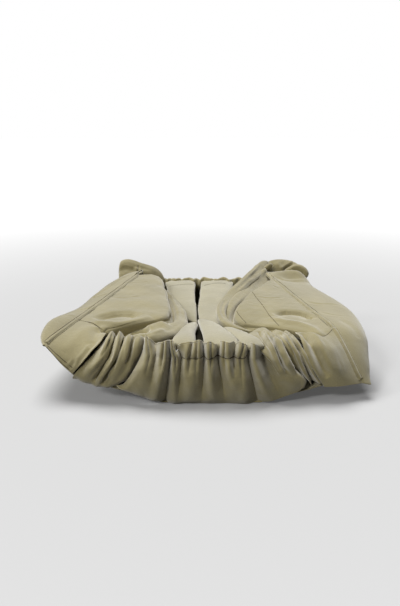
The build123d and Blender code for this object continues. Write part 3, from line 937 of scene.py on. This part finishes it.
# The gathered corner between the smooth left panel and the slit in the skirt, fold by fold.
left_gather = gathered_corner(
    "left_gathered_corner",
    [
        [(-178, -160, 98), (-184, -172, 104), (-197, -196, 98), (-206, -212, 88), (-226, -221, 68),
         (-243, -226, 50), (-246, -222, 43)],
        [(-177, -164, 102), (-182, -176, 107), (-193, -202, 100), (-205, -216, 87), (-223, -224, 66),
         (-236, -227, 49), (-240, -222, 42)],
        [(-174, -178, 110), (-176, -190, 121), (-179, -214, 115), (-187, -231, 91), (-203, -235, 71),
         (-226, -230, 45), (-230, -224, 38)],
        [(-167, -180, 102), (-169, -192, 110), (-172, -209, 103), (-179, -219, 83), (-191, -225, 62),
         (-210, -229, 38), (-214, -224, 33)],
        [(-160, -182, 110), (-161, -194, 123), (-161, -219, 113), (-169, -234, 86), (-183, -237, 63),
         (-200, -232, 34), (-204, -226, 29)],
        [(-152, -182, 102), (-152, -196, 110), (-155, -211, 102), (-162, -221, 85), (-177, -227, 64),
         (-193, -231, 34), (-197, -226, 29)],
        [(-143, -184, 106), (-143, -200, 120), (-144, -221, 113), (-149, -234, 89), (-161, -237, 64),
         (-180, -233, 33), (-184, -227, 28)],
        [(-133, -184, 104), (-133, -200, 115), (-134, -217, 108), (-139, -229, 87), (-151, -234, 62),
         (-174, -233, 34), (-176, -227, 29)],
        [(-124, -186, 105), (-123, -204, 118), (-124, -219, 112), (-128, -228, 92), (-138, -233, 70),
         (-150, -233, 48), (-168, -228, 33)],
        [(-116, -188, 102), (-115, -204, 110), (-116, -210, 106), (-120, -217, 90), (-130, -221, 68),
         (-142, -222, 46), (-158, -218, 33)],
    ],
    (90, 150),
    [
        ("valley", 3, 6.0, [(-168, -186, 110), (-171, -209, 105), (-179, -221, 83), (-191, -227, 62),
            (-208, -230, 40)]),
        ("valley", 3, 7.0, [(-152, -190, 110), (-155, -212, 104), (-162, -223, 85), (-177, -229, 64),
            (-193, -232, 36)]),
        ("valley", 2.6, 5.0, [(-134, -200, 116), (-136, -218, 108), (-140, -229, 90), (-146, -234, 74)]),
        ("valley", 2.6, 4.0, [(-176, -200, 120), (-181, -222, 104), (-190, -232, 86)]),
        ("ridge", 3, 2.4, [(-147, -216, 112), (-154, -230, 88), (-168, -236, 62), (-186, -234, 40)]),
    ],
    20, 71, 0.7,
)

# The gathered right corner: a broad fold over the skirt, then narrow folds under the corner panel.
right_broad = gathered_corner(
    "right_gathered_fold",
    [
        [(92, -166, 96), (100, -200, 96), (112, -216, 84), (126, -226, 66), (140, -229, 46), (152, -230, 28)],
        [(78, -166, 106), (84, -205, 107), (98, -224, 96), (110, -236, 86), (121, -240, 68),
         (135, -240, 46), (142, -237, 26)],
        [(90, -146, 108), (97, -190, 109), (107, -214, 102), (118, -229, 88), (128, -237, 70),
         (141, -239, 48), (150, -237, 26)],
        [(101, -132, 108), (109, -182, 108), (115, -210, 102), (125, -226, 88), (136, -235, 72),
         (150, -238, 50), (160, -236, 28)],
        [(112, -132, 109), (124, -200, 110), (131, -221, 97), (142, -232, 78), (160, -237, 58),
         (173, -237, 45), (172, -234, 29)],
        [(120, -132, 98), (131, -188, 98), (139, -204, 86), (151, -214, 68), (167, -219, 52),
         (179, -221, 42), (177, -224, 30)],
    ],
    (80, 130),
    [
        ("hollow", 4, 9.0, [(98, -150, 108), (104, -190, 108), (108, -208, 102), (113, -222, 90)]),
        ("valley", 3, 9.0, [(114, -170, 109), (118, -200, 108), (123, -218, 98), (132, -232, 80),
            (142, -237, 60)]),
        ("ridge", 4, 4.0, [(106, -150, 109), (111, -196, 108), (116, -216, 98), (124, -230, 84)]),
        ("valley", 3, 6.0, [(92, -206, 108), (102, -222, 92), (108, -230, 78)]),
        ("lap", 3, 7.0, [(124, -196, 110), (129, -214, 100), (140, -230, 80), (158, -236, 58)]),
    ],
    24, 72, 0.6,
)
right_pleats = gathered_corner(
    "right_gathered_pleats",
    [
        [(122, -130, 94), (129, -180, 94), (137, -194, 82), (151, -206, 64), (168, -212, 50),
         (184, -216, 38)],
        [(133, -134, 107), (145, -170, 110), (149, -202, 109), (161, -223, 92), (171, -231, 68),
         (181, -232, 47), (188, -229, 34)],
        [(142, -136, 98), (154, -168, 96), (160, -188, 90), (168, -203, 77), (178, -211, 58),
         (190, -217, 38)],
        [(151, -146, 108), (157, -180, 111), (161, -206, 108), (171, -222, 94), (178, -230, 78),
         (189, -233, 58), (204, -231, 36)],
        [(160, -150, 100), (166, -178, 100), (170, -196, 95), (181, -210, 80), (192, -216, 62),
         (206, -220, 40)],
    ],
    (80, 110),
    [
        ("valley", 3, 6.0, [(152, -170, 110), (155, -200, 108), (166, -222, 92), (176, -231, 70),
            (188, -232, 48)]),
        ("valley", 2.6, 5.0, [(138, -160, 109), (142, -192, 108), (150, -212, 98), (160, -222, 84)]),
    ],
    20, 73, 0.6,
)


# ---- the base and the back ----------------------------------------------------------
def base_height(x):
    """Height of the base panel's underside along the pillow."""
    left, right = np.clip(-80 - x, 0, None), np.clip(x - 95, 0, None)
    steep = 0.75 * (np.clip(-245 - x, 0, None) + np.clip(x - 262, 0, None))
    return 0.28 * left + 0.25 * right + steep


# The base's two side edges, as (y, x).
BASE_OUTLINE_LEFT = ((-234, -84), (-229, -160), (-223, -238), (-204, -292), (-120, -296), (20, -270),
    (150, -240), (212, -224), (228, -208), (234, -180))
BASE_OUTLINE_RIGHT = ((-234, 98), (-230, 160), (-226, 206), (-220, 262), (-206, 276), (-150, 288),
    (-10, 290), (150, 256), (200, 246), (222, 226), (234, 190))
ys = np.linspace(-234, 232, 150)
share = np.linspace(0, 1, 200)
start = np.interp(ys, *zip(*BASE_OUTLINE_LEFT))[:, None]
end = np.interp(ys, *zip(*BASE_OUTLINE_RIGHT))[:, None]
base_x = start + (end - start) * share[None]
base_y = ys[:, None] + 0 * base_x
base = np.stack([base_x, base_y, base_height(base_x) + CLOTH / 2], axis=2)
base[..., 2] += (unevenness(base, 60, 81) * 0.8 + 0.8) * ease((np.abs(base_x) - 90) / 60)
low_corner = ease((base_x - 196) / 50) * ease((-140 - base_y) / 60)  # under the low right tip
base[..., 2] = base[..., 2] * (1 - low_corner) + 33 * low_corner
base_panel = sheet_piece("base_cloth", facing(base, (0, 0, -1)))

back_top = smooth(
    [
        (-224, 222, 112), (-208, 227, 112), (-180, 231, 109), (-140, 234, 108), (-122, 235, 116),
        (-104, 236, 117), (0, 237, 118), (104, 236, 117), (122, 235, 116), (140, 234, 108), (196, 231, 108),
        (232, 224, 112), (249, 213, 112),
    ],
    COLUMNS,
)
back_bottom = smooth(
    [
        (-221, 224, 44), (-200, 231, 37), (-150, 235, 23), (-80, 236, 3), (95, 236, 3), (170, 235, 26),
        (224, 228, 42), (243, 214, 47),
    ],
    COLUMNS,
)
back = coons(
    back_bottom, back_top,
    smooth([(-221, 224, 44), (-228, 224, 74), (-224, 222, 112)], BACK_ROWS),
    smooth([(243, 214, 47), (252, 214, 78), (249, 213, 112)], BACK_ROWS),
)
back[..., 2] = np.maximum(back[..., 2], 1.2)
fall, down, up = heights(BACK_ROWS)
BACK_FOLDS = [
    (x, x * 1.15 + 6 * ((k * 5) % 3 - 1), 4 + (k * 3) % 4, 7 + 3 * ((k * 7) % 3), 0.5 + 0.17 * ((k * 5) % 6))
    for k, x in enumerate(
        (-186, -160, -138, -112, -96, -74, -58, -30, -14, 12, 30, 58, 74, 100, 120, 150, 178, 206)
    )
]
x = back[..., 0]
middle = ease((x + 122) / 16) * ease((122 - x) / 16)
valleys = gather(x, down, BACK_FOLDS)
back_out = valleys * (1 - 0.55 * up * middle) + 5.5 * np.sin(math.pi * down) ** 0.8
back_out += unevenness(back * (1, 1, 0.4), 40, 83) * np.sin(math.pi * down)
back_ruffle = unevenness(back * (1, 0, 0), 26, 47) * 1.4 * up
back_out += (back_ruffle + 2.2 * np.sin(math.pi * up) - 1.8 * up**3) * middle
back_out -= 1.8 * middle * bump_at(fall - HEADER, 0.014)
back_out *= ease((x + 229) / 22) * ease((254 - x) / 22)
back[..., 1] += back_out
lift = unevenness(x[..., None] * (1, 0, 0), 40, 48) * 0.8 + valleys * 0.14
lift -= notches(x, [(-86, 4, 3), (-60, 4, 3), (-18, 7, 3), (20, 3, 2), (66, 6, 4), (96, 4, 3)])
back[..., 2] += lift * up**1.5 * middle
back_wall = sheet_piece("back_gathered_skirt", facing(back, (0, 1, 0)))
back_columns = np.abs(back_top[:, 0]) < BACK_HEM_ENDS
back_hem = turned_in("back_hem_casing", back[-1, back_columns], -1)
back_elastic_line = back[BACK_ELASTIC_ROW, back_columns]

bag_spine = [
    (-244, 0, 76, 112, 28, 0), (-204, 0, 60, 178, 58, 0), (-70, 0, 41, 216, 74, 0), (85, 0, 41, 216, 74, 0),
    (210, 0, 60, 184, 58, 0), (252, 0, 78, 118, 28, 0),
]
bag_shape = dict(ends=(34, 34), seed=61, wobble=1.6)
# the inner bag is near black: painted shade for the deep gaps between the folds
inner_bag = soft_fold("inner_bag_cloth", bag_spine, painted_shade_cloth, around=100, **bag_shape)
core_fill = soft_fold("core_fibre_fill", bag_spine, fibre, around=60, inset=2.5, **bag_shape)


def elastic(name, line, inward):
    """A flat elastic inside a hem, drawn up with the cloth that is gathered on it."""
    places = evened(line, 2) + np.array((0, inward, 0))
    up = np.array((0, 0, 1.0))
    out = unit(np.cross(np.gradient(places, axis=0), up))
    section = [(-0.7, -8), (0.7, -8), (0.7, 3), (-0.7, 3)]
    rings = np.stack([places + out * a + up * h for a, h in section], axis=1)
    return closed_piece(name, outward_rings(rings), elastic_web)


front_elastic = elastic("front_elastic_web", front_elastic_line, 5.2)
back_elastic = elastic("back_elastic_web", back_elastic_line, -5.2)

# ---- seams --------------------------------------------------------------------------
left_tree = surfaces(left_flap, left_end, left_corner)
right_tree = surfaces(right_flap, right_end, right_corner)
seams = []
for side, tree, parts in (
    ("left", left_tree, (LEFT_SEAM_BACK, LEFT_HINGE, LEFT_SEAM_FRONT)),
    ("right", right_tree, (RIGHT_SEAM_BACK, RIGHT_HINGE, RIGHT_SEAM_FRONT)),
):
    toward = (0, -0.2, 1) if side == "left" else (0.1, -0.5, 1)
    for where, points in zip(("back", "hinge", "front"), parts):
        name = f"{side}_felled_seam_{where}"
        path = smooth(points, step=2.0)
        path = path[:-3] if where == "front" else path[4:] if where == "back" else path
        band, places, ups = ribbon(name, path, tree, FELLED, seam_cloth, toward)
        rows = stitches(f"{side}_seam_stitches_{where}", places, ups, STITCH_ROWS, thread)
        seams.append((side, where, band, rows))

# Thin lines of painted shade along joins, edges, pleats and the stitch line: where each runs, what it is laid
# on and the body it moves with.
flap_tree = surfaces(right_flap)
stitch_row = skirt[STITCH_ROW]
stitch_row = stitch_row[(stitch_row[:, 0] > -46) & (stitch_row[:, 0] < 70)]
lines = []
for name, body, tree, points in (
    ("left_corner_join", "cover", left_tree, LEFT_JOIN[:-1]),
    ("right_corner_join", "cover", right_tree, RIGHT_JOIN[:3]),
    ("left_corner_edge_line", "cover", left_tree,
        [(-292, -204, 99), (-276, -212, 85), (-258, -218, 70), (-244, -222, 60)]),
    ("left_corner_lower_line", "cover", left_tree,
        [(-294, -208, 95), (-279, -215, 81), (-262, -221, 66), (-248, -225, 56)]),
    ("right_flap_hem_line", "right_flap", flap_tree,
        [(99, 46, 138), (112, -20, 128), (126, -84, 115), (139, -128, 111)]),
    ("right_flap_edge_line", "right_flap", flap_tree, [(58, -58, 124), (66, -84, 118), (76, -110, 113)]),
    ("left_pleat_line", "cover", surfaces(left_back_pleat),
        [(-92, 184, 116), (-62, 190, 117), (-30, 192, 116)]),
    ("right_pleat_line", "cover", surfaces(right_back_pleat),
        [(-10, 178, 115), (20, 196, 117), (50, 198, 116)]),
    ("front_stitch_line", "cover", surfaces(front_wall), stitch_row),
):
    toward = (0, -1, 0.2) if name == "front_stitch_line" else (0, -0.35, 1.0)
    lines.append((ribbon(name, smooth(points, step=2.0), tree, GROOVE, crease_painted_shade, toward)[0], body))


# ---- what each piece rides on and stands for ----------------------------------------
def put(piece, body, stands_for):
    """A piece that moves with a body and stands for a node of the CAD."""
    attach(piece, body)
    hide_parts(stands_for)


# Sheets, with the size and the area that each is cut to (m, m2) and how it is held.
for piece, node_name, flat, area, held in (
    (left_end, "left_end_panel", (0.152, 0.446), 0.047, "draped"),
    (right_end, "right_end_panel", (0.195, 0.491), 0.065, "draped"),
    (left_corner, "left_corner_panel", (0.101, 0.113), 0.0094, "stretched"),
    (right_corner, "right_corner_panel", (0.117, 0.148), 0.0115, "stretched"),
    (front_wall, "front_wall", (0.630, 0.142), 0.0525, "gathered"),
    (back_wall, "back_wall", (0.746, 0.126), 0.0575, "gathered"),
    (front_hem, "front_hem", (0.470, 0.033), 0.0140, "gathered"),
    (back_hem, "back_hem", (0.320, 0.031), 0.0092, "gathered"),
    (left_gather, "left_corner_gather", (0.150, 0.188), 0.0184, "gathered"),
    (right_broad, "right_corner_gather", (0.199, 0.130), 0.0152, "folded"),
    (right_pleats, "right_corner_gather", (0.172, 0.123), 0.0136, "folded"),
    (base_panel, "base_panel", (0.467, 0.690), 0.2623, "laid"),
):
    put(piece, "cover", node_name)

# Padded and stuffed pieces, with how full each is.
for piece, body, node_name, slot, fill in (
    (left_flap, "left_flap", "left_flap_cover", "cover_cloth", 0.6),
    (right_flap, "right_flap", "right_flap_cover", "cover_cloth", 0.6),
    (left_flap_fill, "left_flap", "left_flap_fill", "fibre_fill", 0.6),
    (right_flap_fill, "right_flap", "right_flap_fill", "fibre_fill", 0.6),
    (left_tuck, "cover", "left_tuck", "cover_cloth", 0.5),
    (right_tuck, "cover", "right_tuck", "cover_cloth", 0.5),
    (left_back_pleat, "cover", "left_back_pleat", "lining_cloth", 0.3),
    (right_back_pleat, "cover", "right_back_pleat", "lining_cloth", 0.3),
    (left_front_petal, "cover", "left_front_petal", "lining_cloth", 0.3),
    (right_front_petal, "cover", "right_front_petal", "lining_cloth", 0.3),
    (right_small_petal, "cover", "right_front_petal", "lining_cloth", 0.3),
    (left_back_roll, "cover", "left_back_roll", "cover_cloth", 0.4),
    (tuck_band, "cover", "right_back_bunch", "cover_cloth", 0.4),
    (bunch_main, "cover", "right_back_bunch", "cover_cloth", 0.4),
    (bunch_end, "cover", "right_back_bunch", "cover_cloth", 0.4),
    (bunch_knot, "cover", "right_back_bunch", "cover_cloth", 0.5),
    (knot_loop, "cover", "right_back_bunch", "cover_cloth", 0.5),
    (inner_bag, "cover", "inner_bag", "bag_cloth", 0.6),
    (core_fill, "cover", "core_fill", "fibre_fill", 0.6),
):
    put(piece, body, node_name)
put(front_elastic, "cover", "front_elastic")
put(back_elastic, "cover", "back_elastic")

# A felled seam's middle part, over the hinge, is baked in place and moves with no body; its two ends move
# with the cover.
HINGES = {
    "left": (Vector((-0.21, 0.035896, 0.129)), Vector((0.0050, -0.0016, 0))),
    "right": (Vector((0.2, -0.004986, 0.1259)), Vector((-0.0050, -0.0014, 0))),
}
for side, where, band, rows in seams:
    middle, inward = HINGES[side]
    for piece in (band, rows):
        if where == "hinge":
            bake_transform(piece)
        else:
            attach(piece, "cover")
    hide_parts(f"{side}_seam_tape")
for piece, body in lines:
    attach(piece, body)


# ---- floor, light and camera --------------------------------------------------------
def for_camera(tree, otherwise):
    """1 for what the camera sees and another value for light that bounces."""
    seen = node(tree, "LightPath")
    level = node(tree, "MapRange", To_Min=otherwise, To_Max=1.0)
    tree.links.new(seen.outputs["Is Camera Ray"], level.inputs["Value"])
    return level.outputs["Result"]


def floor_material():
    """A matt floor that grows paler further away, so that it meets the white background softly."""
    material = bpy.data.materials.new("floor")
    material.use_nodes = True
    tree = material.node_tree
    shader = tree.nodes["Principled BSDF"]
    shader.inputs["Roughness"].default_value = 0.95
    shader.inputs["Emission Color"].default_value = (1, 1, 1, 1)
    place = node(tree, "TexCoord")
    distance = node(tree, "VectorMath")
    distance.operation = "LENGTH"
    tree.links.new(place.outputs["Object"], distance.inputs[0])
    paler = node(tree, "MapRange", From_Min=0.4, From_Max=3.2, To_Min=0.47, To_Max=0.82)
    paler.interpolation_type = "SMOOTHSTEP"
    tree.links.new(distance.outputs["Value"], paler.inputs["Value"])
    # the floor throws less light back than it shows, and glows a little to the camera only
    tone = combined(tree, "MULTIPLY", paler.outputs["Result"], for_camera(tree, 0.45))
    glow = combined(tree, "MULTIPLY", for_camera(tree, 0.0), 0.07)
    tree.links.new(tone, shader.inputs["Base Color"])
    tree.links.new(glow, shader.inputs["Emission Strength"])
    return material


bpy.ops.mesh.primitive_plane_add(size=60, location=(0, 0, -0.0005))
floor = bpy.context.object
floor.name = "floor"
floor.data.materials.append(floor_material())


def sun(name, toward, strength, angle):
    """A soft distant light; toward is the way its light travels."""
    data = bpy.data.lights.new(name, "SUN")
    data.energy = strength
    data.angle = math.radians(angle)
    light = bpy.data.objects.new(name, data)
    light.rotation_euler = Vector(toward).to_track_quat("-Z", "Y").to_euler()
    bpy.context.scene.collection.objects.link(light)


sun("overhead", (0.16, -0.34, -1), 3.55, 38)
sun("front_key", (0.55, 0.62, -0.62), 1.1, 12)
sun("side_key", (0.8, 0.22, -0.5), 0.5, 14)

world = bpy.data.worlds.new("studio")
bpy.context.scene.world = world
world.use_nodes = True
background = world.node_tree.nodes["Background"]
background.inputs["Color"].default_value = (1, 1, 1, 1)
world.node_tree.links.new(for_camera(world.node_tree, 0.07), background.inputs["Strength"])

bpy.context.scene.view_settings.view_transform = "Standard"

SENSOR = 36  # mm, along the longer side of the picture
LOOKS_DOWN = 16.1  # degrees
camera_data = bpy.data.cameras.new("camera")
camera_data.sensor_width = SENSOR
camera_data.lens = SENSOR * 600 / 606
camera = bpy.data.objects.new("camera", camera_data)
camera.location = (-0.014, -1.235, 0.478)
camera.rotation_euler = (math.radians(90 - LOOKS_DOWN), 0, 0)
bpy.context.scene.collection.objects.link(camera)
bpy.context.scene.camera = camera
